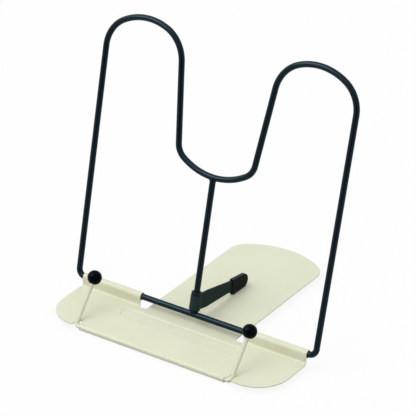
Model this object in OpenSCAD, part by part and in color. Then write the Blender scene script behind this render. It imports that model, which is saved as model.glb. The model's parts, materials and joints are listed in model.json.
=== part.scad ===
// Book display stand: pressed steel tray, folding wire back frame, swivel prop arm, page holder.
// Millimetres, +X to the right, +Y to the back, +Z up, table at Z = 0.

/* [Base plate] */
// Thickness of the steel sheet
sheet_t = 0.8; // [0.6:0.1:1.2]
// Half of the tray's width
tray_half_w = 107; // [90:1:125]
// Tray depth in front of the hinge bar
tray_reach = 55.3; // [45:0.1:75]
// Radius of the tray's front corners
lobe_r = 27.5; // [5:0.5:40]
// Half of the rear stem's width
stem_half_w = 42.2; // [30:0.1:46]
// Stem length behind the hinge bar
stem_reach = 135.4; // [110:0.1:170]
// Radius of the stem's curved rear edge
stem_end_r = 65.2; // [50:0.1:120]
// Radius of the stem's two rear corners
stem_corner_r = 16; // [3:0.5:24]
// How far the relief notches reach in front of the bar
relief_reach = 5.6; // [5:0.1:12]

/* [Sunk strip] */
// Length of the sunk strip pressed into the tray
strip_l = 116; // [60:1:130]
// Width of the sunk strip at its rim
strip_w = 13.4; // [8:0.1:18]
// Depth of the sunk strip
strip_deep = 0.3; // [0.2:0.1:0.6]
// Width of the strip's sloping border
strip_slope = 1; // [0.4:0.1:1.5]
// Distance of the strip's centre line in front of the bar
strip_back = 17.6; // [14:0.1:30]

/* [Hinge knuckles] */
// Inner end of each knuckle, from the middle
knuckle_in = 49.5; // [47:0.1:60]
// Step from the tray's side edge to a knuckle's outer end
knuckle_inset = 0.9; // [0.8:0.1:3]
// Height of the bar's centre above the tray floor
bar_rise = 6.5; // [5:0.1:9]
// Inside radius of the bend at the knuckle's foot
bend_r = 0.8; // [0.4:0.1:1.5]
// Radial clearance of a turning fit
run_fit = 0.05; // [0.02:0.01:0.08]

/* [Page holder] */
// Diameter of the page holder's wire
holder_d = 3.2; // [2.5:0.1:4]
// Half of the rolled hem's length
hem_half_l = 68.2; // [50:0.1:72]
// Sideways place of the hem's middle
hem_x = -2.9; // [-6:0.1:6]
// Step from the tray's front edge to the hem's front
hem_inset = 0.35; // [0:0.05:1]
// Bend radius of the page holder's wire
holder_bend_r = 3; // [3:0.1:6]
// Free play of the page holder in its hem, to each side
holder_play = 1.9; // [0.3:0.1:3]
// Place of the page holder in that play, from -1 at its left end to 1 at its right end
holder_slide = 0.3; // [-1:0.1:1]
// Distance from the hem's centre to a ball's centre
holder_reach = 40.2; // [30:0.1:55]
// Slope of the holder's arms above the tray
holder_slope = 50; // [48:0.1:90]
// Diameter of the balls
ball_d = 11.5; // [8:0.1:16]
// Depth of the slots behind the hem's centre, where the arms swing through
slot_back = 5.2; // [5.2:0.1:9]

/* [Wire frame] */
// Diameter of the frame's wire
wire_d = 5; // [4:0.1:6]
// Lean of the frame behind the vertical
lean = 15.2; // [8:0.1:25]
// Bend radius of the two lower corners
corner_r = 6; // [5:0.5:10]
// Outward slope of the uprights
splay = 0.66; // [0:0.01:2]
// Height of the valley's lowest point along the frame
valley_s = 111.3; // [90:0.1:140]
// Radius of the valley's wide curve
valley_r = 54.2; // [40:0.1:80]
// Turn of half the valley's curve
valley_turn = 32.5; // [15:0.1:45]
// Radius of the bends beside the valley
toe_r = 13.8; // [8:0.1:20]
// Slope of the inner legs from the frame's middle line
leg_slope = 6.9; // [0:0.1:15]
// Straight length of the inner legs
leg_l = 63.1; // [40:0.1:90]
// Radius of the lobes' inner shoulders
inner_r = 28; // [15:0.1:40]
// Turn of the lobes' inner shoulders
inner_turn = 61.5; // [40:0.5:75]
// Radius of the lobes' tops
crown_r = 47.1; // [30:0.1:70]
// Radius of the lobes' outer shoulders
outer_r = 26.3; // [15:0.1:40]
// Turn of the lobes' outer shoulders
outer_turn = 60.4; // [40:0.1:75]

/* [Prop arm] */
// Outer diameter of the sleeve on the strut
sleeve_d = 8.2; // [7:0.1:11]
// Middle of the sleeve's level mouth, along the strut from the bar
sleeve_top = 17; // [12:0.1:24]
// Thickness of the arm's blade
blade_t = 1.6; // [1:0.1:2.5]
// Height of the blade's lower edge beside the sleeve
blade_low = 3.1; // [2.9:0.1:6]
// Height of the blade's upper edge beside the sleeve
blade_high = 16.7; // [10:0.1:17]
// Turn of the arm to the right of straight back
arm_turn = 1.4; // [-10:0.1:10]
// Length of the arm to the end of its rubber tip
arm_l = 68.8; // [55:0.1:80]
// Radius of the rubber tip's round end
tip_r = 5.9; // [5:0.1:7]
// Length of the rubber tip in front of its round end
tip_l = 16.5; // [10:0.5:20]
// Thickness of the rubber tip
tip_t = 3.4; // [3:0.1:6]
// Gap between the rubber tip and the stem
tip_gap = 0.15; // [0.1:0.05:0.3]

/* [Feet] */
// Diameter of the rubber feet
foot_d = 10; // [8:0.5:14]
// Height of the rubber feet
foot_h = 4.5; // [4.5:0.1:6]
// Sideways place of the front feet
foot_front_x = 86; // [60:1:92]
// Distance of the front feet in front of the bar
foot_front_y = 38; // [20:1:42]
// Sideways place of the rear feet
foot_rear_x = 29; // [15:1:34]
// Distance of the rear feet from the stem's rear edge
foot_rear_in = 29; // [15:1:40]

/* [Hidden] */
$fn = 96;

cream = [0.86, 0.87, 0.78];
black = [0.10, 0.13, 0.14];
dark = [0.05, 0.05, 0.05];

// Each round piece of a bent wire laps into its neighbour by this much
lap = 0.3;
// Straight runs are this much thinner in radius, so that the laps stay inside
slim = 0.01;
// Clearance beside the page holder's arms, and of the sleeve's end above the bar
clear = 0.3;
// How far a cut reaches past the face it starts from
over = 0.1;
// Step that keeps the corner of a flat outline inside a round one
tuck = 0.02;

floor_z = foot_h + sheet_t;
bar_y = tray_reach - (tray_reach + stem_reach) / 2;
bar_z = floor_z + bar_rise;
knuckle_out = tray_half_w - knuckle_inset;
roll_in = wire_d / 2 + run_fit;
roll_out = roll_in + sheet_t;
floor_back = roll_out + bend_r;
hem_in = holder_d / 2 + run_fit;
hem_out = hem_in + sheet_t;
hem_y = -tray_reach + hem_out + hem_inset;
hem_z = floor_z - hem_out;
end_y = stem_reach - stem_end_r;
corner_x = stem_half_w - stem_corner_r;
corner_y = end_y + sqrt(pow(stem_end_r - stem_corner_r, 2) - pow(corner_x, 2));

// The frame is bent as one run: [length] is straight, [radius, turn] is an arc, left turns positive
toe_turn = 90 - leg_slope - valley_turn;
crown_turn = 180 - leg_slope - inner_turn + splay - outer_turn;
half_run = [[valley_r, valley_turn], [toe_r, toe_turn], [leg_l], [inner_r, -inner_turn],
            [crown_r, -crown_turn], [outer_r, -outer_turn]];
shoulder = travel([0, valley_s, 0], half_run);
bend_turn = 90 - splay;
upright_l = (shoulder[1] - corner_r * (1 - sin(splay))) / cos(splay);
bar_end = shoulder[0] - upright_l * sin(splay) - corner_r * cos(splay);
frame_run = [[2 * bar_end], [corner_r, bend_turn], [upright_l], [outer_r, outer_turn],
             [crown_r, crown_turn], [inner_r, inner_turn], [leg_l], [toe_r, -toe_turn],
             [valley_r, -2 * valley_turn], [toe_r, -toe_turn], [leg_l], [inner_r, inner_turn],
             [crown_r, crown_turn], [outer_r, outer_turn], [upright_l], [corner_r, bend_turn]];

// The page holder: arm, bend, straight pivot, bend, arm
arm_x = hem_half_l + holder_play + holder_bend_r;
holder_x = hem_x + holder_slide * holder_play;
holder_arm_l = holder_reach - holder_bend_r - lap;
holder_run = [[holder_arm_l], [holder_bend_r, 90], [2 * (arm_x - holder_bend_r)],
              [holder_bend_r, 90], [holder_arm_l]];

// Height along the strut at which the arm, at reach l, is this far above the stem
function stand(l, above) = (l * cos(arm_turn) * sin(lean) - bar_rise + above) / cos(lean);

tip_end = arm_l - tip_r;
tip_mid = stand(tip_end, tip_gap + tip_r);
mouth = tip_end - tip_l;

// Place and heading at the end of one piece of a run
function step(p, seg) = len(seg) == 1
  ? [p[0] + seg[0] * cos(p[2]), p[1] + seg[0] * sin(p[2]), p[2]]
  : let (k = sign(seg[1]), a = p[2] + seg[1])
    [p[0] + k * seg[0] * (sin(a) - sin(p[2])), p[1] + k * seg[0] * (cos(p[2]) - cos(a)), a];

// Unit vector at an angle
function turned(a) = [cos(a), sin(a)];

// Place and heading at the end of a whole run
function travel(p, run, i = 0) = i == len(run) ? p : travel(step(p, run[i]), run, i + 1);

// A bent wire in the XY plane that starts at the origin along +X
module bent_wire(run, d, i = 0) {
  if (i < len(run)) {
    seg = run[i];
    even = i % 2 == 0;
    r = d / 2 - (even ? slim : 0);
    reach = even ? lap : 0;
    if (len(seg) == 1) {
      translate([-reach, 0, 0]) rotate([0, 90, 0]) cylinder(r = r, h = seg[0] + 2 * reach);
      translate([seg[0], 0, 0]) bent_wire(run, d, i + 1);
    } else {
      k = sign(seg[1]);
      more = reach / seg[0] * 180 / PI;
      translate([0, k * seg[0], 0])
        rotate([0, 0, k > 0 ? -90 - more : 90 + seg[1] - more])
          rotate_extrude(angle = abs(seg[1]) + 2 * more) translate([seg[0], 0]) circle(r = r);
      translate([0, k * seg[0], 0]) rotate([0, 0, seg[1]]) translate([0, -k * seg[0], 0])
        bent_wire(run, d, i + 1);
    }
  }
}

// Part of a flat ring between two angles
module ring_part(r_in, r_out, from, to) {
  far = 3 * r_out;
  intersection() {
    difference() {
      circle(r = r_out);
      circle(r = r_in);
    }
    polygon(concat([[0, 0]], [for (k = [0 : 8]) far * turned(from + (to - from) * k / 8)]));
  }
}

// Turns a profile drawn in Y and Z into a bar along X
module along_x(x0, length) {
  translate([x0, 0, 0]) rotate([90, 0, 90]) linear_extrude(length) children();
}

// The frame's own plane: X across, Y up the frame, -Z to the back
module on_frame() {
  translate([0, bar_y, bar_z]) rotate([90 - lean, 0, 0]) children();
}

// The arm's side view stood upright behind the strut: reach along X, height along Y
module on_arm(thick) {
  on_frame() rotate([0, 90 - arm_turn, 0]) translate([0, 0, -thick / 2])
    linear_extrude(thick) children();
}

// Outline of the stem, with its curved rear edge
module stem_outline() {
  ray = [corner_x, corner_y - end_y];
  translate([-stem_half_w, -relief_reach - 1]) square([2 * stem_half_w, corner_y + relief_reach + 1]);
  for (s = [-1, 1])
    translate([s * corner_x, corner_y]) circle(r = stem_corner_r);
  intersection() {
    translate([0, end_y]) circle(r = stem_end_r);
    translate([0, end_y]) polygon([[0, 0], 3 * ray, [-3 * ray[0], 3 * ray[1]]]);
  }
}

// Outline of the whole sheet before its edges are rolled
module plate_outline() {
  difference() {
    union() {
      translate([-tray_half_w, lobe_r - tray_reach])
        square([2 * tray_half_w, tray_reach - lobe_r - floor_back]);
      translate([lobe_r - tray_half_w, -tray_reach]) square([2 * (tray_half_w - lobe_r), lobe_r]);
      for (s = [-1, 1])
        translate([s * (tray_half_w - lobe_r), lobe_r - tray_reach]) intersection() {
          circle(r = lobe_r);
          translate([-2 * lobe_r, -2 * lobe_r]) square([4 * lobe_r, 2 * lobe_r]);
        }
    }
    for (s = [-1, 1]) {
      // relief notch between a knuckle and the stem
      translate([s > 0 ? stem_half_w : -knuckle_in, -relief_reach])
        square([knuckle_in - stem_half_w, relief_reach]);
      // slot for an arm of the page holder, from its bend to its outer side
      bend_at = holder_x + s * (arm_x - holder_bend_r);
      slot_end = holder_x + s * (arm_x + holder_d / 2 + clear);
      translate([min(bend_at, slot_end), -tray_reach - 1])
        square([abs(slot_end - bend_at), tray_reach + 1 + hem_y + slot_back]);
    }
    // between the arms the sheet ends above the holder's wire, and the hem is rolled from there
    translate([holder_x - arm_x, -tray_reach - 1]) square([2 * arm_x, tray_reach + 1 + hem_y]);
  }
  stem_outline();
}

// Foot bend, riser and roll of a knuckle, drawn from the tray floor's top and the bar's centre
module knuckle_profile() {
  translate([-floor_back, bend_r]) ring_part(bend_r, bend_r + sheet_t, -90, 0);
  translate([-roll_out, bend_r]) square([sheet_t, bar_rise - bend_r]);
  translate([0, bar_rise]) ring_part(roll_in, roll_out, -130, 180);
}

// Shape of the sunk strip below its rim, with sloping borders and round ends
module strip_shape() {
  half = strip_w / 2;
  run = strip_l / 2 - half;
  low = half - strip_slope;
  along_x(-run, 2 * run)
    polygon([[-half, over], [-half, 0], [-low, -strip_deep], [low, -strip_deep], [half, 0],
             [half, over]]);
  for (s = [-1, 1])
    translate([s * run, 0, 0]) rotate([0, 0, s > 0 ? -90 : 90]) rotate_extrude(angle = 180)
      polygon([[0, over], [0, -strip_deep], [low, -strip_deep], [half, 0], [half, over]]);
}

module base_plate() {
  color(cream) translate([0, bar_y, 0]) {
    difference() {
      union() {
        translate([0, 0, foot_h]) linear_extrude(sheet_t) plate_outline();
        translate([0, -strip_back, foot_h]) strip_shape();
      }
      translate([0, -strip_back, floor_z]) strip_shape();
    }
    for (s = [-1, 1])
      translate([0, 0, floor_z])
        along_x(s > 0 ? knuckle_in : -knuckle_out, knuckle_out - knuckle_in) knuckle_profile();
    along_x(hem_x - hem_half_l, 2 * hem_half_l) translate([hem_y, hem_z])
      ring_part(hem_in, hem_out, 90, 340);
  }
}

module rubber_feet() {
  color(dark) translate([0, bar_y, 0])
    for (s = [-1, 1]) {
      translate([s * foot_front_x, -foot_front_y, 0]) cylinder(d = foot_d, h = foot_h);
      translate([s * foot_rear_x, stem_reach - foot_rear_in, 0]) cylinder(d = foot_d, h = foot_h);
    }
}

module frame_wire() {
  color(black) on_frame() translate([-bar_end, 0, 0]) bent_wire(frame_run, wire_d);
}

module centre_strut() {
  color(black) on_frame() difference() {
    rotate([-90, 0, 0]) cylinder(d = wire_d, h = valley_s);
    translate([-wire_d, 0, 0]) rotate([0, 90, 0]) cylinder(d = wire_d, h = 2 * wire_d);
    translate([0, valley_s + valley_r, 0]) rotate([0, 0, -100])
      rotate_extrude(angle = 20) translate([valley_r, 0]) circle(d = wire_d);
  }
}

// Side view of the arm's blade: reach from the strut along X, height along the strut along Y
module blade_outline() {
  root = sleeve_d / 2 - 0.8;
  polygon([[root, blade_low], [10, blade_low], [14.5, blade_low + 0.3], [mouth + 4, tip_mid - 6],
           [tip_end + 1, tip_mid - 3.4], [tip_end + 1, tip_mid + 3], [mouth + 1.5, tip_mid + 2.2],
           [mouth - 1, tip_mid + 2.6], [15.5, blade_high + 0.8], [9, blade_high],
           [root, blade_high + 0.3]]);
}

// Side view of the rubber tip without its round end, flat along the stem
module tip_outline() {
  foot = tip_r - tuck;
  polygon([[mouth, tip_mid + 3.7], [tip_end, tip_mid + foot],
           [tip_end + foot * sin(lean), tip_mid - foot * cos(lean)],
           [mouth + 4, stand(mouth + 4, tip_gap + tuck)], [mouth + 2.3, stand(mouth + 2.3, 1.6)]]);
}

module prop_arm() {
  color(black) {
    on_frame() difference() {
      translate([0, wire_d / 2 + clear, 0]) rotate([-90, 0, 0]) cylinder(d = sleeve_d, h = sleeve_top);
      rotate([-90, 0, 0]) cylinder(r = wire_d / 2 + run_fit, h = 2 * sleeve_top);
      // the mouth is level while the strut leans
      translate([-sleeve_d, sleeve_top, 0]) rotate([lean, 0, 0]) translate([0, 0, -sleeve_d])
        cube([2 * sleeve_d, sleeve_top, 2 * sleeve_d]);
    }
    on_arm(blade_t) blade_outline();
  }
}

module rubber_tip() {
  color(dark) difference() {
    union() {
      on_arm(tip_t) tip_outline();
      on_arm(tip_t) translate([tip_end, tip_mid]) circle(r = tip_r);
    }
    on_arm(blade_t) blade_outline();
  }
}

// The page holder's own plane: pivot along X, arms along Y
module on_holder() {
  translate([holder_x, bar_y + hem_y, hem_z]) rotate([holder_slope, 0, 0]) children();
}

module holder_wire() {
  color(cream) on_holder() translate([-arm_x, holder_arm_l + holder_bend_r, 0]) rotate([0, 0, -90])
    bent_wire(holder_run, holder_d);
}

// A ball with the blind hole that its arm is pressed into
module ball(side) {
  color(dark) on_holder() translate([side * arm_x, holder_reach, 0]) difference() {
    sphere(d = ball_d);
    rotate([90, 0, 0]) cylinder(r = holder_d / 2 - slim, h = ball_d);
  }
}

module ball_left() {
  ball(-1);
}

module ball_right() {
  ball(1);
}

base_plate();
rubber_feet();
frame_wire();
centre_strut();
prop_arm();
rubber_tip();
holder_wire();
ball_left();
ball_right();
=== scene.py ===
import bmesh
import bpy
import json
import math
from mathutils import Matrix, Vector


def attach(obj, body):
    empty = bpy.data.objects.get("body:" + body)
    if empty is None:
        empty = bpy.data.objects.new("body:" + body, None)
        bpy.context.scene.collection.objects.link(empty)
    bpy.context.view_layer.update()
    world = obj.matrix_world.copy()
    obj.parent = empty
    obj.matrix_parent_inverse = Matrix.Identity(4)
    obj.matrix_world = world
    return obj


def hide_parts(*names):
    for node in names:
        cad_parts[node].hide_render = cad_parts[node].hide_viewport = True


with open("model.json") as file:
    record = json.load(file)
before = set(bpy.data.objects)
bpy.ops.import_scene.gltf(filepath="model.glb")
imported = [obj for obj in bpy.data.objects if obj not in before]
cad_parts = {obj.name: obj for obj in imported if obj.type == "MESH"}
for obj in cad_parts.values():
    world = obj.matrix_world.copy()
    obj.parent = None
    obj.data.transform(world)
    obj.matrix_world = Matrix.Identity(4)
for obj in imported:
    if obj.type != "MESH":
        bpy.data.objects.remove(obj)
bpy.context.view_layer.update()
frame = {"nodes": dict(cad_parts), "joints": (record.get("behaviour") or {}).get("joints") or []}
jointAt = {j["name"]: Vector(j["pos_m"]) for j in frame["joints"]}
hinge = jointAt["frame_fold"]  # middle of the hinge bar
pivot = jointAt["page_holder_swing"]  # middle of the page holder's lower run
print("frame loaded:", sorted(frame["nodes"]))

mm = 0.001
tiny = 1e-7  # points closer than this are one point
softNormals = ("WEIGHTED_NORMAL", {"weight": 80, "keep_sharp": True})


class Val:  # a shader value that can be used in sums
    def __init__(self, tree, socket):
        self.tree, self.socket = tree, socket

    def calc(self, operation, *others):
        node = self.tree.nodes.new("ShaderNodeMath")
        node.operation = operation
        for slot, item in zip(node.inputs, (self, *others)):
            if isinstance(item, Val):
                self.tree.links.new(item.socket, slot)
            else:
                slot.default_value = item
        return Val(self.tree, node.outputs[0])

    def __add__(self, other):
        return self.calc("ADD", other)

    def __sub__(self, other):
        return self.calc("SUBTRACT", other)

    def __rsub__(self, other):
        return self * -1.0 + other

    def __mul__(self, other):
        return self.calc("MULTIPLY", other)

    __radd__ = __add__
    __rmul__ = __mul__

    def over(self, limit):
        return self.calc("GREATER_THAN", limit)

    def most(self, other):
        return self.calc("MAXIMUM", other)


class Board:  # a node tree that is wired by name
    def __init__(self, tree):
        self.tree = tree
        tree.nodes.clear()

    def node(self, kind, settings=None, inputs=None):
        made = self.tree.nodes.new(kind)
        for key, value in (settings or {}).items():
            setattr(made, key, value)
        for key, value in (inputs or {}).items():
            if isinstance(value, Val):
                self.tree.links.new(value.socket, made.inputs[key])
            else:
                made.inputs[key].default_value = value
        return made

    def get(self, made, output=0):
        return Val(self.tree, made.outputs[output])


def newMaterial(name):
    material = bpy.data.materials.new(name)
    material.use_nodes = True
    return material, Board(material.node_tree)


def addObject(name, data):
    made = bpy.data.objects.new(name, data)
    bpy.context.scene.collection.objects.link(made)
    return made


def put(name, mesh, material, body, slot, *nodes):  # a finished piece on its CAD body
    mesh.materials.clear()
    mesh.materials.append(material)
    made = addObject(name, mesh)
    settle(made)
    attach(made, body)
    if nodes:
        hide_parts(*nodes)
    print("piece", name, len(made.data.polygons), "faces on", body)


def settle(made, *modifiers):  # runs modifiers and leaves a plain smooth mesh
    for kind, settings in (*modifiers, softNormals):
        step = made.modifiers.new(kind.lower(), kind)
        for key, value in settings.items():
            setattr(step, key, value)
    for face in made.data.polygons:
        face.use_smooth = True
    graph = bpy.context.evaluated_depsgraph_get()
    plain = bpy.data.meshes.new_from_object(made.evaluated_get(graph), depsgraph=graph)
    made.modifiers.clear()
    old, made.data = made.data, plain
    plain.name = made.name
    bpy.data.meshes.remove(old)


def toMesh(name, bm):
    bmesh.ops.remove_doubles(bm, verts=bm.verts, dist=tiny)
    bmesh.ops.recalc_face_normals(bm, faces=bm.faces)
    mesh = bpy.data.meshes.new(name)
    bm.to_mesh(mesh)
    bm.free()
    return mesh


def joined(name, meshes):  # several meshes as one
    bm = bmesh.new()
    for mesh in meshes:
        bm.from_mesh(mesh)
        bpy.data.meshes.remove(mesh)
    return toMesh(name, bm)


def markPaintedSheen(mesh, chosen):  # marks the faces that take a finish's paler tone, a painted sheen
    marks = mesh.attributes.new("pale", "FLOAT", "FACE")
    for face, mark in zip(mesh.polygons, marks.data):
        mark.value = 1.0 if chosen(face) else 0.0
    return mesh


def lathe(bm, profile, origin, axis, turns):  # profile of (radius, height), spun about axis
    axis = Vector(axis).normalized()
    side = axis.orthogonal().normalized()
    across = axis.cross(side)
    rings = []
    for radius, height in profile:
        centre = Vector(origin) + axis * height
        if radius < tiny:  # a pole
            rings.append([bm.verts.new(centre)])
            continue
        rings.append([bm.verts.new(centre + radius * (side * math.cos(a) + across * math.sin(a)))
                      for a in (2 * math.pi * k / turns for k in range(turns))])
    for low, high in zip(rings, rings[1:]):
        for k in range(turns):
            n = (k + 1) % turns
            corners = [low[k % len(low)], low[n % len(low)], high[n % len(high)], high[k % len(high)]]
            corners = list(dict.fromkeys(corners))
            if len(corners) > 2:
                bm.faces.new(corners)


def arcPoints(centre, radius, start, end, steps):  # from start to end, in degrees
    angles = [math.radians(start + (end - start) * k / steps) for k in range(steps + 1)]
    return [(centre[0] + radius * math.cos(a), centre[1] + radius * math.sin(a)) for a in angles]


def rounded(corners, steps=5):  # corners of (x, y, radius), rounded off
    out = []
    count = len(corners)
    for i, (x, y, radius) in enumerate(corners):
        here = Vector((x, y))
        if radius <= 0:
            out.append((x, y))
            continue
        before = (Vector(corners[i - 1][:2]) - here).normalized()
        after = (Vector(corners[(i + 1) % count][:2]) - here).normalized()
        half = before.angle(after) / 2
        reach = radius / math.tan(half)
        middle = here + (before + after).normalized() * (radius / math.sin(half))
        one, two = here + before * reach - middle, here + after * reach - middle
        turn = one.angle_signed(two)
        for k in range(steps + 1):
            spin = Matrix.Rotation(-turn * k / steps, 2)
            out.append(tuple(middle + spin @ one))
    return out


def prism(bm, outline, thick, place, edge, segments):  # flat outline with thickness and soft edges
    sides = [[bm.verts.new(place(x, y, side)) for x, y in outline] for side in (-thick / 2, thick / 2)]
    count = len(outline)
    faces = [bm.faces.new(sides[0][::-1]), bm.faces.new(sides[1])]
    for k in range(count):
        n = (k + 1) % count
        faces.append(bm.faces.new([sides[0][k], sides[0][n], sides[1][n], sides[1][k]]))
    bmesh.ops.recalc_face_normals(bm, faces=faces)
    rim = list(dict.fromkeys(e for f in faces[:2] for e in f.edges))
    bmesh.ops.bevel(bm, geom=rim, offset=edge * mm, segments=segments, profile=0.5, affect="EDGES",
                    clamp_overlap=True)


# points along straight runs (length,) and bends (radius, turn), and the heading at the end
def walk(run, start, heading, turnStep, leastSteps=3):
    x, y = start
    points = [(x, y)]
    for piece in run:
        if len(piece) == 1:
            x += piece[0] * math.cos(math.radians(heading))
            y += piece[0] * math.sin(math.radians(heading))
            points.append((x, y))
            continue
        radius, turn = piece
        sign = 1 if turn > 0 else -1
        cx = x - sign * radius * math.sin(math.radians(heading))
        cy = y + sign * radius * math.cos(math.radians(heading))
        steps = max(leastSteps, round(abs(turn) / turnStep))
        for k in range(1, steps + 1):
            a = math.radians(heading + turn * k / steps)
            points.append((cx + sign * radius * math.sin(a), cy - sign * radius * math.cos(a)))
        x, y = points[-1]
        heading += turn
    return points, heading


def newTree(name, inputs, output):  # an empty Geometry Nodes tree with named sockets
    tree = bpy.data.node_groups.new(name, "GeometryNodeTree")
    for label, kind in inputs.items():
        tree.interface.new_socket(label, in_out="INPUT", socket_type="NodeSocket" + kind)
    tree.interface.new_socket(output, in_out="OUTPUT", socket_type="NodeSocketGeometry")
    board = Board(tree)
    return board, board.node("NodeGroupInput")


def closeTree(board, given, shape, output):  # real geometry with its finish
    whole = board.node("GeometryNodeRealizeInstances", None, {"Geometry": shape})
    dressed = board.node("GeometryNodeSetMaterial", None, {
        "Geometry": board.get(whole), "Material": board.get(given, "Finish")})
    board.node("NodeGroupOutput", None, {output: board.get(dressed)})
    return board.tree


def rodTree():  # Geometry Nodes: a round rod along a path
    board, given = newTree("rod along a path", {
        "Path": "Geometry", "Diameter": "Float", "Sides": "Int", "Finish": "Material"}, "Rod")
    line = board.node("GeometryNodeMeshToCurve", None, {"Mesh": board.get(given, "Path")})
    ring = board.node("GeometryNodeCurvePrimitiveCircle", {"mode": "RADIUS"}, {
        "Resolution": board.get(given, "Sides"), "Radius": board.get(given, "Diameter") * 0.5})
    skin = board.node("GeometryNodeCurveToMesh", None, {
        "Curve": board.get(line), "Profile Curve": board.get(ring), "Fill Caps": True})
    return closeTree(board, given, board.get(skin), "Rod")


def nodeMesh(name, start, tree, inputs):  # runs a Geometry Nodes tree on a mesh and returns a plain mesh
    carrier = addObject(name + "Carrier", start)
    step = carrier.modifiers.new("nodes", "NODES")
    step.node_group = tree
    keys = {item.name: item.identifier for item in tree.interface.items_tree if item.in_out == "INPUT"}
    for key, value in inputs.items():
        step[keys[key]] = value
    graph = bpy.context.evaluated_depsgraph_get()
    mesh = bpy.data.meshes.new_from_object(carrier.evaluated_get(graph), depsgraph=graph)
    bpy.data.objects.remove(carrier)
    return joined(name, [mesh])


def pathMesh(name, points, closed):
    mesh = bpy.data.meshes.new(name)
    links = [(k, k + 1) for k in range(len(points) - 1)]
    if closed:
        links.append((len(points) - 1, 0))
    mesh.from_pydata(points, links, [])
    return mesh


rods = rodTree()


def rodMesh(name, points, closed, diameter, sides, finish):
    path = pathMesh(name + "Path", points, closed)
    return nodeMesh(name, path, rods, {"Diameter": diameter * mm, "Sides": sides, "Finish": finish})


def linear(r, g, b):  # screen colour, 0 to 255, as the shader wants it
    def one(c):
        c /= 255
        return c / 12.92 if c <= 0.04045 else ((c + 0.055) / 1.055) ** 2.4  # the sRGB curve
    return one(r), one(g), one(b), 1.0


def noise(board, scale, detail):
    spot = board.get(board.node("ShaderNodeTexCoord"), "Object")
    made = board.node("ShaderNodeTexNoise", None, {"Vector": spot, "Scale": scale, "Detail": detail})
    return board.get(made)


def blendColour(board, share, low, high):  # Mix has its colours at inputs 6 and 7 and output 2
    made = board.node("ShaderNodeMix", {"data_type": "RGBA"}, {0: share, 6: low, 7: high})
    return board.get(made, 2)


# finishes: a cloud of two tones, specks, fine bump, and how rough and glossy each one is
everyLook = dict(cloudDetail=2.0, speckDetail=0.0, noiseMiddle=0.5, paleLeast=0.6, paleCloud=0.8)
creamLook = dict(
    dark=linear(221, 225, 200), light=linear(230, 233, 209), cloudScale=22.0,
    peelScale=950.0, peelDetail=1.0, bump=0.12, bumpDepth=0.00003,
    speckScale=520.0, speckOver=0.80, speckShare=0.10, speckColour=linear(196, 196, 168),
    rough=0.50, roughCloud=0.10, roughPeel=0.06, ior=1.36, tint=(1, 1, 1, 1),
    coat=0.05, coatRough=0.15)
inkLook = dict(
    dark=linear(4, 11, 19), light=linear(8, 16, 26), cloudScale=60.0,
    peelScale=1100.0, peelDetail=1.0, bump=0.16, bumpDepth=0.00003,
    speckScale=640.0, speckOver=0.79, speckShare=0.25, speckColour=linear(52, 66, 70),
    rough=0.30, roughCloud=0.08, roughPeel=0.06, ior=1.31, tint=(0.4, 0.82, 1, 1))
propLook = dict(
    dark=linear(27, 42, 42), light=linear(34, 50, 50), cloudScale=45.0,
    peelScale=1200.0, peelDetail=1.0, bump=0.16, bumpDepth=0.00003,
    speckScale=640.0, speckOver=0.79, speckShare=0.25, speckColour=linear(44, 60, 58),
    rough=0.50, roughCloud=0.10, roughPeel=0.08, ior=1.15, tint=(0.4, 0.9, 0.85, 1),
    # pale: painted sheen, the sleeve's lighter copy of the blade's paint
    pale=linear(39, 54, 56))
rubberLook = dict(
    dark=linear(14, 16, 13), light=linear(22, 24, 20), cloudScale=240.0,
    peelScale=2600.0, peelDetail=4.0, bump=0.45, bumpDepth=0.00006,
    speckScale=1500.0, speckOver=0.76, speckShare=0.30, speckColour=linear(56, 57, 53),
    rough=0.60, roughCloud=0.14, roughPeel=0.14, ior=1.17, tint=(0.8, 0.9, 1, 1),
    # pale: painted reflection, the bluish sheen of the overhead light on the cap's top
    pale=linear(44, 58, 74))
bushLook = dict(
    dark=linear(22, 31, 35), light=linear(29, 39, 44), cloudScale=200.0,
    peelScale=1800.0, peelDetail=2.0, bump=0.10, bumpDepth=0.00003,
    speckScale=1500.0, speckOver=0.78, speckShare=0.25, speckColour=linear(60, 60, 66),
    rough=0.46, roughCloud=0.10, roughPeel=0.08, ior=1.2, tint=(0.6, 0.9, 1, 1))
ballLook = dict(
    dark=linear(1, 3, 5), light=linear(3, 6, 9), cloudScale=160.0,
    peelScale=900.0, peelDetail=2.0, bump=0.06, bumpDepth=0.00002,
    speckScale=1500.0, speckOver=0.79, speckShare=0.20, speckColour=linear(40, 46, 52),
    rough=0.34, roughCloud=0.10, roughPeel=0.06, ior=1.12, tint=(0.75, 0.9, 1, 1))


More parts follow.
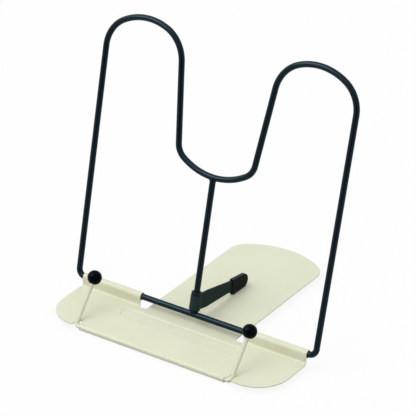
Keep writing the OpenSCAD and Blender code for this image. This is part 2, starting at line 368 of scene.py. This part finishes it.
def coated(name, look):  # one paint, rubber or plastic from its settings
    material, board = newMaterial(name)
    every = everyLook
    cloud = noise(board, look["cloudScale"], every["cloudDetail"])
    peel = noise(board, look["peelScale"], look["peelDetail"])
    speck = noise(board, look["speckScale"], every["speckDetail"]).over(look["speckOver"])
    colour = blendColour(board, cloud, look["dark"], look["light"])
    colour = blendColour(board, speck * look["speckShare"], colour, look["speckColour"])
    if "pale" in look:  # painted sheen: a paler tone on the faces that the mesh marks
        marked = board.get(board.node("ShaderNodeAttribute", {"attribute_name": "pale"}), "Fac")
        share = marked * (every["paleLeast"] + cloud * every["paleCloud"])
        colour = blendColour(board, share, colour, look["pale"])
    rough = (look["rough"] + (cloud - every["noiseMiddle"]) * look["roughCloud"]
             + (peel - every["noiseMiddle"]) * look["roughPeel"])
    bump = board.node("ShaderNodeBump", None, {
        "Strength": look["bump"], "Distance": look["bumpDepth"], "Height": peel})
    sockets = {"Base Color": colour, "Roughness": rough, "Normal": board.get(bump),
               "IOR": look["ior"], "Specular Tint": look["tint"]}
    if "coat" in look:
        sockets.update({"Coat Weight": look["coat"], "Coat Roughness": look["coatRough"]})
    shader = board.node("ShaderNodeBsdfPrincipled", None, sockets)
    board.node("ShaderNodeOutputMaterial", None, {"Surface": board.get(shader)})
    material.diffuse_color = look["light"]
    return material


creamPaint = coated("cream enamel", creamLook)
inkPaint = coated("blue-black enamel", inkLook)
propPaint = coated("green-black enamel", propLook)
tipRubber = coated("black rubber", rubberLook)
bushPlastic = coated("black bush plastic", bushLook)
ballPlastic = coated("black ball plastic", ballLook)
print("finishes made")


# sizes are in mm and degrees: x and y run from the middle of the hinge bar, z from the table
holder = dict(  # the tray's slots follow the page holder's arms
    wire=3.2, sides=24, bend=3.0, turnStep=5.0, reach=40.2, slope=50.0, armX=73.1, shift=-2.33,
    shortOfBall=0.5, ball=11.5, ballSteps=40, ballTurns=64,
    neck=1.75, neckEdge=0.5, neckLip=0.18, neckDeep=0.45)
tray = dict(
    sheet=0.8, floorZ=5.3, edge=0.18, edgeSteps=2, edgeAngle=55.0,
    halfWidth=107.0, reach=55.29, lobe=27.5, lobeSteps=24,
    stemHalf=42.2, stemReach=135.36, stemEnd=65.2, endSteps=14, stemCorner=16.0, cornerSteps=8,
    relief=5.6, reliefIn=2.2, reliefOut=0.4,  # notches between stem and knuckles
    knuckleIn=49.5, knuckleOut=106.1, bend=1.8, bendSteps=6,
    rollOut=3.35, rollFrom=180.0, rollTo=-130.0, rollSteps=34,
    hemHalf=68.2, hemX=-2.9, hemOut=2.45, hemFrom=90.0, hemTo=340.0, hemSteps=34,
    slotRoom=1.9, slotBack=5.2, slotCorner=0.9, slotMouth=0.3,
    stripLength=116.0, stripWidth=13.4, stripBack=17.6, stripDeep=0.6, stripSlope=1.7,
    stripRings=6, stripSteps=16)
hemY, hemZ = (pivot.y - hinge.y) / mm, pivot.z / mm
barZ = hinge.z / mm
floorBack = -(tray["rollOut"] + tray["bend"])  # where the floor turns up into the knuckles


def traySide(side):  # outline from the hem's end to the middle of the stem's rear edge
    t = tray
    arm = holder["armX"] + side * holder["shift"]
    slotIn, slotOut, slotEnd = arm - holder["bend"], arm + t["slotRoom"], hemY + t["slotBack"]
    points = [(t["hemHalf"] + side * t["hemX"], hemY, 0), (slotIn, hemY, t["slotMouth"]),
              (slotIn, slotEnd, t["slotCorner"]), (slotOut, slotEnd, t["slotCorner"]),
              (slotOut, -t["reach"], t["slotMouth"])]
    lobeAt = (t["halfWidth"] - t["lobe"], t["lobe"] - t["reach"])
    points += [(x, y, 0) for x, y in arcPoints(lobeAt, t["lobe"], -90, 0, t["lobeSteps"])]
    points += [(t["halfWidth"], floorBack, 0), (t["knuckleOut"], floorBack, 0),
               (t["knuckleIn"], floorBack, 0), (t["knuckleIn"], -t["relief"], t["reliefOut"]),
               (t["stemHalf"], -t["relief"], t["reliefIn"])]
    endY = t["stemReach"] - t["stemEnd"]
    cornerX = t["stemHalf"] - t["stemCorner"]
    lift = math.sqrt((t["stemEnd"] - t["stemCorner"]) ** 2 - cornerX ** 2)
    meet = math.degrees(math.atan2(lift, cornerX))  # the corner runs smoothly into the curved end
    rear = arcPoints((cornerX, endY + lift), t["stemCorner"], 0, meet, t["cornerSteps"])
    rear += arcPoints((0, endY), t["stemEnd"], meet, 90, t["endSteps"])[1:]
    return points + [(x, y, 0) for x, y in rear]


def trayOutline():  # counter-clockwise corners of the flat sheet
    right, left = traySide(1), traySide(-1)
    return rounded(right + [(-x, y, radius) for x, y, radius in left[-2::-1]])


def stripLoop(inset):  # one closed line round the sunk strip
    radius = tray["stripWidth"] / 2 - inset
    run = tray["stripLength"] / 2 - tray["stripWidth"] / 2
    steps = tray["stripSteps"]
    return arcPoints((run, 0), radius, -90, 90, steps) + arcPoints((-run, 0), radius, 90, 270, steps)


def buildTray():
    t = tray
    bm = bmesh.new()

    def at(x, y, z):
        return bm.verts.new((x * mm, hinge.y + y * mm, z * mm))

    def corner(x, y):  # the outline's vertex that is nearest
        return min(outer, key=lambda v: (v.co.x / mm - x) ** 2 + ((v.co.y - hinge.y) / mm - y) ** 2)

    def carryOn(x0, x1, y, profile):  # carries the sheet on from an edge of the floor
        left, right = corner(x0, y), corner(x1, y)
        for nextY, nextZ in profile:
            a, b = at(x0, nextY, nextZ), at(x1, nextY, nextZ)
            bm.faces.new((left, right, b, a))
            left, right = a, b

    outer = [at(x, y, t["floorZ"]) for x, y in trayOutline()]
    rings = []
    for k in range(t["stripRings"] + 1):
        share = k / t["stripRings"]
        deep = t["stripDeep"] * share * share * (3 - 2 * share)  # soft at both ends of the slope
        rings.append([at(x, y - t["stripBack"], t["floorZ"] - deep)
                      for x, y in stripLoop(t["stripSlope"] * share)])
    border = []
    for loop in (outer, rings[0]):
        border += [bm.edges.new((loop[k - 1], loop[k])) for k in range(len(loop))]
    bmesh.ops.triangle_fill(bm, use_beauty=True, use_dissolve=False, edges=border)
    for low, high in zip(rings, rings[1:]):
        for k in range(len(low)):
            bm.faces.new((low[k - 1], low[k], high[k], high[k - 1]))
    bm.faces.new(rings[-1])

    foot = arcPoints((floorBack, t["floorZ"] + t["bend"]), t["bend"], -90, 0, t["bendSteps"])[1:]
    roll = arcPoints((0, barZ), t["rollOut"], t["rollFrom"], t["rollTo"], t["rollSteps"])
    for x0, x1 in ((t["knuckleIn"], t["knuckleOut"]), (-t["knuckleOut"], -t["knuckleIn"])):
        carryOn(x0, x1, floorBack, foot + roll)
    hem = arcPoints((hemY, hemZ), t["hemOut"], t["hemFrom"], t["hemTo"], t["hemSteps"])[1:]
    carryOn(t["hemX"] - t["hemHalf"], t["hemX"] + t["hemHalf"], hemY, hem)
    mesh = toMesh("tray_sheet", bm)
    top = max(mesh.polygons, key=lambda f: f.area)
    if top.normal.z < 0:
        mesh.flip_normals()
    made = addObject("trayCarrier", mesh)
    settle(made, ("SOLIDIFY", {"thickness": t["sheet"] * mm, "offset": -1.0, "use_even_offset": True,
                               "use_quality_normals": True}),
           ("BEVEL", {"width": t["edge"] * mm, "segments": t["edgeSteps"], "limit_method": "ANGLE",
                      "angle_limit": math.radians(t["edgeAngle"]), "harden_normals": False}))
    done = made.data
    bpy.data.objects.remove(made)
    return done


put("tray_sheet", buildTray(), creamPaint, "base", "cream_enamel", "base_plate")


feet = dict(
    diameter=10.0, height=4.5, edge=0.7, edgeSteps=5, topEdge=0.3, turns=40,
    dimple=3.0, dimpleDeep=0.8, dimpleSlope=0.4, dimpleLip=0.25, dimpleFlare=0.35,
    places=((86.0, -38.0), (-86.0, -38.0), (29.0, 106.4), (-29.0, 106.4)))


def footTree():  # Geometry Nodes: the same foot on each point
    board, given = newTree("feet on points", {
        "Places": "Geometry", "Foot": "Object", "Finish": "Material"}, "Feet")
    foot = board.node("GeometryNodeObjectInfo", {"transform_space": "ORIGINAL"},
                      {"Object": board.get(given, "Foot")})
    spread = board.node("GeometryNodeInstanceOnPoints", None, {
        "Points": board.get(given, "Places"), "Instance": board.get(foot, "Geometry")})
    return closeTree(board, given, board.get(spread), "Feet")


def buildFeet():
    f = feet
    r, h, edge, top = f["diameter"] / 2, f["height"], f["edge"], f["topEdge"]
    d, deep = f["dimple"] / 2, f["dimpleDeep"]
    profile = [(0, deep), (d - f["dimpleSlope"], deep), (d, f["dimpleLip"]), (d + f["dimpleFlare"], 0)]
    profile += arcPoints((r - edge, edge), edge, -90, 0, f["edgeSteps"])
    profile += [(r, h - top), (r - top, h), (0, h)]
    bm = bmesh.new()
    lathe(bm, [(x * mm, y * mm) for x, y in profile], (0, 0, 0), (0, 0, 1), f["turns"])
    shape = addObject("footShape", toMesh("footShape", bm))
    places = pathMesh("footPlaces", [(x * mm, hinge.y + y * mm, 0) for x, y in f["places"]], False)
    mesh = nodeMesh("foot_pads", places, footTree(), {"Foot": shape, "Finish": tipRubber})
    bpy.data.objects.remove(shape)
    return mesh


put("foot_pads", buildFeet(), tipRubber, "base", "black_rubber", "rubber_feet")


backFrame = dict(  # bends and runs from the middle of the valley down to the hinge bar
    wire=4.94, sides=32, turnStep=2.5, lean=15.2,
    valleyAt=111.3, valley=54.2, valleyTurn=32.5, toe=13.8, legSlope=6.9, leg=63.1,
    inner=28.0, innerTurn=61.5, crown=47.1, outer=26.3, outerTurn=60.4, splay=0.66, corner=6.0,
    strutIn=1.0, strutStops=(30.0, 60.0, 90.0),
    bead=1.1, beadSides=10, beadSteps=48, beadOut=0.12)
lean = math.radians(backFrame["lean"])
upFrame = Vector((0, math.sin(lean), math.cos(lean)))
overFrame = Vector((0, math.cos(lean), -math.sin(lean)))


def onFrame(x, s, out=0.0):  # sideways, up the frame and to its back
    return hinge + Vector((x * mm, 0, 0)) + upFrame * (s * mm) + overFrame * (out * mm)


def buildFrame():
    b = backFrame
    toeTurn = 90 - b["legSlope"] - b["valleyTurn"]
    crownTurn = 180 - b["legSlope"] - b["innerTurn"] + b["splay"] - b["outerTurn"]
    half = [(b["valley"], b["valleyTurn"]), (b["toe"], toeTurn), (b["leg"],), (b["inner"], -b["innerTurn"]),
            (b["crown"], -crownTurn), (b["outer"], -b["outerTurn"])]
    right, heading = walk(half, (0, b["valleyAt"]), 0, b["turnStep"])
    splay = math.radians(b["splay"])
    upright = (right[-1][1] - b["corner"] * (1 - math.sin(splay))) / math.cos(splay)
    down = [(upright,), (b["corner"], -(90 - b["splay"]))]
    right += walk(down, right[-1], heading, b["turnStep"])[0][1:]
    line = right + [(-x, s) for x, s in right[:0:-1]]
    return rodMesh("frame_rod", [onFrame(x, s) for x, s in line], True, b["wire"], b["sides"], inkPaint)


def buildStrut():  # rod between bar and valley, with a weld bead at each end
    b = backFrame
    stops = (b["strutIn"], *b["strutStops"], b["valleyAt"] - b["strutIn"])
    meshes = [rodMesh("strut", [onFrame(0, s) for s in stops], False, b["wire"], b["sides"], inkPaint)]
    around = b["wire"] / 2 + b["beadOut"]
    for low, sign in ((0.0, 1), (b["valleyAt"], -1)):
        ring = []
        for k in range(b["beadSteps"]):
            a = 2 * math.pi * k / b["beadSteps"]
            x, out = around * math.cos(a), around * math.sin(a)
            bow = 0.0 if sign > 0 else x * x / (2 * b["valley"])  # the valley rises to both sides
            ring.append(onFrame(x, low + sign * abs(x) + bow, out))
        meshes.append(rodMesh("bead", ring, True, b["bead"], b["beadSides"], inkPaint))
    return joined("strut_rod", meshes)


put("frame_rod", buildFrame(), inkPaint, "back_frame", "black_enamel", "frame_wire")
put("strut_rod", buildStrut(), inkPaint, "back_frame", "black_enamel", "centre_strut")


prop = dict(  # reach from the strut's middle and height up the strut
    turn=1.4, bore=5.1, leadLow=0.3, leadTop=0.4, turns=56, rimSteps=5,
    sleeve=8.8, sleeveLow=4.2, sleeveTop=16.0, rim=0.3,
    bush=8.3, bushTop=18.8, bushLow=2.75, bushGap=0.5, bushFoot=0.8, bushEdge=0.35,
    blade=1.6, bladeEdge=0.28, bladeEdgeSteps=3, low=3.1, high=16.7,
    bladeLow=((3.4, 0.0, 0), (10.0, 0.0, 3.0), (15.0, 0.35, 8.0)),  # reach, above low, radius
    bladeHeel=((4.0, -6.0, 2.0),),  # from the cap's mouth
    bladeEnd=((1.0, -3.4, 1.0), (1.0, 3.0, 1.0)),  # from the middle of the cap's end
    bladeNeck=((1.5, 2.2, 0.6), (-1.0, 2.6, 0.8)),  # from the cap's mouth
    bladeHigh=((15.5, 0.8, 12.0), (8.6, -0.1, 2.5), (3.4, 0.3, 0)),  # reach, above high, radius
    tip=3.4, tipEnd=62.9, tipRound=5.9, tipSteps=22, tipEdge=0.6, tipEdgeSteps=5, gap=0.15,
    mouth=46.4, mouthHalf=3.7, mouthRound=0.6, heelIn=4.0, heelRound=2.2,
    lipIn=2.3, lipUp=1.6, lipRound=1.0, panelIn=0.35, panelDeep=0.22, paleSlope=0.6)
turnArm = math.radians(prop["turn"])
reachArm = Vector((math.sin(turnArm), 0, 0)) + overFrame * math.cos(turnArm)
sideArm = reachArm.cross(upFrame)


def onArm(reach, high, side):
    return hinge + (reachArm * reach + upFrame * high + sideArm * side) * mm


def stand(reach, above):  # height up the strut that is this far above the stem
    return (reach * math.cos(turnArm) * math.sin(lean) - (barZ - tray["floorZ"]) + above) / math.cos(lean)


tipMid = stand(prop["tipEnd"], prop["gap"] + prop["tipRound"])


def bladeOutline():
    p = prop
    parts = (("bladeLow", 0, p["low"]), ("bladeHeel", p["mouth"], tipMid),
             ("bladeEnd", p["tipEnd"], tipMid), ("bladeNeck", p["mouth"], tipMid),
             ("bladeHigh", 0, p["high"]))
    return rounded([(x + reach, y + high, radius)
                    for key, reach, high in parts for x, y, radius in p[key]])


def capOutline():  # round at its end, flat along the stem
    p = prop
    mouth, end = p["mouth"], p["tipEnd"]
    heel, lip = mouth + p["heelIn"], mouth + p["lipIn"]
    head = math.degrees(math.atan2(p["tipRound"] - p["mouthHalf"], end - mouth))
    endArc = arcPoints((end, tipMid), p["tipRound"], backFrame["lean"] - 90, 90 + head, p["tipSteps"])
    corners = rounded([(mouth, tipMid + p["mouthHalf"], p["mouthRound"]), (*endArc[-1], 0), (*endArc[0], 0),
                       (heel, stand(heel, p["gap"]), p["heelRound"]),
                       (lip, stand(lip, p["lipUp"]), p["lipRound"])])
    first = corners.index(endArc[-1])
    return corners[:first] + endArc[::-1] + corners[first + 2:]


def ringProfile(outer, low, top, edge, foot=0.0):  # ring on the strut, narrower at its foot
    p = prop
    inner = p["bore"] / 2
    start = (inner, low + p["leadLow"])
    profile = [start, (inner + p["leadLow"], low)]
    profile += arcPoints((outer - foot - edge, low + edge), edge, -90, 0, p["rimSteps"])
    profile += arcPoints((outer - edge, top - edge), edge, 0, 90, p["rimSteps"])
    profile += [(inner + p["leadTop"], top), (inner, top - p["leadTop"]), start]
    return [(x * mm, y * mm) for x, y in profile]


def buildProp():  # blade and sleeve, the sleeve in the paler tone, a painted sheen on the same paint
    p = prop
    bm = bmesh.new()
    prism(bm, bladeOutline(), p["blade"], onArm, p["bladeEdge"], p["bladeEdgeSteps"])
    sleeve = ringProfile(p["sleeve"] / 2, p["sleeveLow"], p["sleeveTop"], p["rim"])
    lathe(bm, sleeve, hinge, upFrame, p["turns"])
    return markPaintedSheen(toMesh("prop_blade", bm),
                    lambda face: (face.center - hinge).dot(reachArm) < p["sleeve"] / 2 * mm)


def buildBushes():  # the bushes that close the sleeve at both ends
    p = prop
    bm = bmesh.new()
    for low, top, foot in ((p["sleeveTop"] + p["bushGap"], p["bushTop"], 0.0),
                           (p["bushLow"], p["sleeveLow"] - p["bushGap"], p["bushFoot"])):
        lathe(bm, ringProfile(p["bush"] / 2, low, top, p["bushEdge"], foot), hinge, upFrame, p["turns"])
    return toMesh("prop_bushes", bm)


def buildCap():  # rubber cap with a shallow panel on each broad side and a paler top, a painted reflection of the overhead light
    p = prop
    bm = bmesh.new()
    prism(bm, capOutline(), p["tip"], onArm, p["tipEdge"], p["tipEdgeSteps"])
    panels = sorted(bm.faces, key=lambda f: f.calc_area())[-2:]
    bmesh.ops.inset_region(bm, faces=panels, thickness=p["panelIn"] * mm, depth=0)
    bmesh.ops.inset_region(bm, faces=panels, thickness=p["panelDeep"] * mm, depth=-p["panelDeep"] * mm)
    return markPaintedSheen(toMesh("prop_cap", bm), lambda face: face.normal.dot(upFrame) > p["paleSlope"])


put("prop_blade", buildProp(), propPaint, "prop", "black_enamel", "prop_arm")
put("prop_bushes", buildBushes(), bushPlastic, "prop", "black_plastic")
put("prop_cap", buildCap(), tipRubber, "prop", "black_rubber", "rubber_tip")


slope = math.radians(holder["slope"])
upHolder = Vector((0, math.cos(slope), math.sin(slope)))


def onHolder(x, s):  # sideways and up the page holder's arms
    return pivot + Vector(((x + holder["shift"]) * mm, 0, 0)) + upHolder * (s * mm)


def buildHolder():
    h = holder
    arm = h["reach"] - h["bend"] - h["shortOfBall"]
    run = [(arm,), (h["bend"], 90), (2 * (h["armX"] - h["bend"]),), (h["bend"], 90), (arm,)]
    line = walk(run, (-h["armX"], arm + h["bend"]), -90, h["turnStep"])[0]
    points = [onHolder(x, s) for x, s in line]
    return rodMesh("holder_rod", points, False, h["wire"], h["sides"], creamPaint)


def buildBall(side):  # round cap with a soft mouth where the wire goes in
    h = holder
    r, neck = h["ball"] / 2, h["neck"]
    start = math.degrees(math.asin((neck + h["neckEdge"]) / r)) - 90
    deep = -r * h["neckDeep"]
    profile = [(0, deep), (neck, deep), (neck, r * math.sin(math.radians(start)) + h["neckLip"])]
    profile += arcPoints((0, 0), r, start, 90, h["ballSteps"])[:-1] + [(0, r)]
    bm = bmesh.new()
    centre = onHolder(side * h["armX"], h["reach"])
    lathe(bm, [(x * mm, y * mm) for x, y in profile], centre, upHolder, h["ballTurns"])
    return toMesh("ball", bm)


put("holder_rod", buildHolder(), creamPaint, "page_holder", "cream_enamel", "holder_wire")
put("ball_cap_left", buildBall(-1), ballPlastic, "page_holder", "black_plastic", "ball_left")
put("ball_cap_right", buildBall(1), ballPlastic, "page_holder", "black_plastic", "ball_right")


studio = dict(  # places and sizes in metres, lens and sensor in mm
    cameraAt=(0.964119, -1.379756, 1.001018), right=(0.820296, 0.571772, -0.013866),
    up=(-0.262687, 0.398179, 0.878891), back=(0.508046, -0.717308, 0.476821),
    lens=213.845, sensor=36.0, clip=(0.05, 50.0), white=(1.0, 1.0, 1.0, 1.0),
    floorSize=1.2, floorColour=(0.9, 0.9, 0.9, 1.0), floorBounce=(0.5, 0.5, 0.5, 1.0), floorShade=0.11,
    screenAt=(1.17, -1.98, 0.15), screenRadius=1.3, screenSides=64, screenColour=(0.02, 0.02, 0.02, 1.0),
    skyLow=0.54, skyHigh=1.0, skyWay=(-0.2, -0.3, 0.93), skySpan=(0.0, 1.0),
    skyColour=(0.975, 1.01, 1.0, 1.0),
    warmColour=(1.04, 0.99, 0.96, 1.0), warmWay=(-0.3, -0.95, 0.1), warmSpan=(-0.1, 0.8))
lampAim = Vector((0, 0, 0.05))
lamps = dict(
    softbox=dict(at=(-0.45, -0.80, 2.15), size=2.0, power=14.0, colour=(1.03, 0.98, 0.97), shineOnly=False),
    sheen=dict(at=(-1.22, -1.05, 1.75), size=1.6, power=43.0, colour=(1.08, 1.0, 1.02), shineOnly=True))


def shown(board):  # 1 for what the camera sees, also in gloss and through glass
    path = board.node("ShaderNodeLightPath")
    seen = board.get(path, "Is Camera Ray").most(board.get(path, "Is Glossy Ray"))
    return seen.most(board.get(path, "Is Transmission Ray"))


def buildFloor():
    s = studio["floorSize"]
    mesh = bpy.data.meshes.new("floor")
    mesh.from_pydata([(-s, -s, 0), (s, -s, 0), (s, s, 0), (-s, s, 0)], [], [(0, 1, 2, 3)])
    material, board = newMaterial("pale floor")
    seen = shown(board)
    tone = blendColour(board, seen, studio["floorBounce"], studio["floorColour"])
    matt = board.node("ShaderNodeBsdfDiffuse", None, {"Color": tone})
    white = board.node("ShaderNodeEmission", None, {"Color": studio["white"], "Strength": 1.0})
    pale = board.node("ShaderNodeMixShader", None, {
        0: 1 - studio["floorShade"], 1: board.get(matt), 2: board.get(white)})
    both = board.node("ShaderNodeMixShader", None, {0: seen, 1: board.get(matt), 2: board.get(pale)})
    board.node("ShaderNodeOutputMaterial", None, {"Surface": board.get(both)})
    mesh.materials.append(material)
    made = addObject("floor", mesh)


def buildScreen():  # dark screen on the camera's side, which gives round wires their dark middle
    bm = bmesh.new()
    bmesh.ops.create_circle(bm, cap_ends=True, segments=studio["screenSides"],
                            radius=studio["screenRadius"])
    at = Vector(studio["screenAt"])
    bm.transform(Matrix.Translation(at) @ (-at).to_track_quat("Z", "Y").to_matrix().to_4x4())
    mesh = toMesh("screen", bm)
    material, board = newMaterial("dark screen")
    matt = board.node("ShaderNodeBsdfDiffuse", None, {"Color": studio["screenColour"]})
    board.node("ShaderNodeOutputMaterial", None, {"Surface": board.get(matt)})
    mesh.materials.append(material)
    made = addObject("screen", mesh)
    made.visible_camera = False


def buildWorld():  # soft white room
    world = bpy.data.worlds.new("studio")
    world.use_nodes = True
    board = Board(world.node_tree)
    way = board.get(board.node("ShaderNodeTexCoord"), "Generated")

    def towards(target, span, low, high):  # level that rises as the view turns to a direction
        dot = board.node("ShaderNodeVectorMath", {"operation": "DOT_PRODUCT"}, {0: way, 1: Vector(target)})
        return board.get(board.node("ShaderNodeMapRange", {"interpolation_type": "SMOOTHSTEP"}, {
            "Value": board.get(dot, "Value"), "From Min": span[0], "From Max": span[1],
            "To Min": low, "To Max": high}))

    sky = towards(studio["skyWay"], studio["skySpan"], studio["skyLow"], studio["skyHigh"])
    warm = towards(studio["warmWay"], studio["warmSpan"], 0.0, 1.0)
    seen = shown(board)
    tone = blendColour(board, warm, studio["skyColour"], studio["warmColour"])
    tone = blendColour(board, seen, tone, studio["white"])
    glow = board.node("ShaderNodeBackground", None, {"Color": tone, "Strength": sky * (1 - seen) + seen})
    board.node("ShaderNodeOutputWorld", None, {"Surface": board.get(glow)})
    bpy.context.scene.world = world


def buildLamp(name, look):  # a round softbox aimed at the stand
    lamp = bpy.data.lights.new(name, "AREA")
    lamp.shape = "DISK"
    lamp.size = look["size"]
    lamp.energy = look["power"]
    lamp.color = look["colour"]
    made = addObject(name, lamp)
    made.location = look["at"]
    made.rotation_euler = (lampAim - made.location).to_track_quat("-Z", "Y").to_euler()
    made.visible_diffuse = not look["shineOnly"]


def buildCamera():
    camera = bpy.data.cameras.new("photo view")
    camera.lens = studio["lens"]
    camera.sensor_width = studio["sensor"]
    camera.clip_start, camera.clip_end = studio["clip"]
    made = addObject("photo view", camera)
    turn = Matrix((studio["right"], studio["up"], studio["back"])).transposed()
    made.matrix_world = Matrix.LocRotScale(Vector(studio["cameraAt"]), turn.to_quaternion(), None)
    bpy.context.scene.camera = made


buildFloor()
buildScreen()
buildWorld()
for name, look in lamps.items():
    buildLamp(name, look)
buildCamera()
bpy.context.scene.view_settings.view_transform = "Standard"
print("stage, light and camera set")
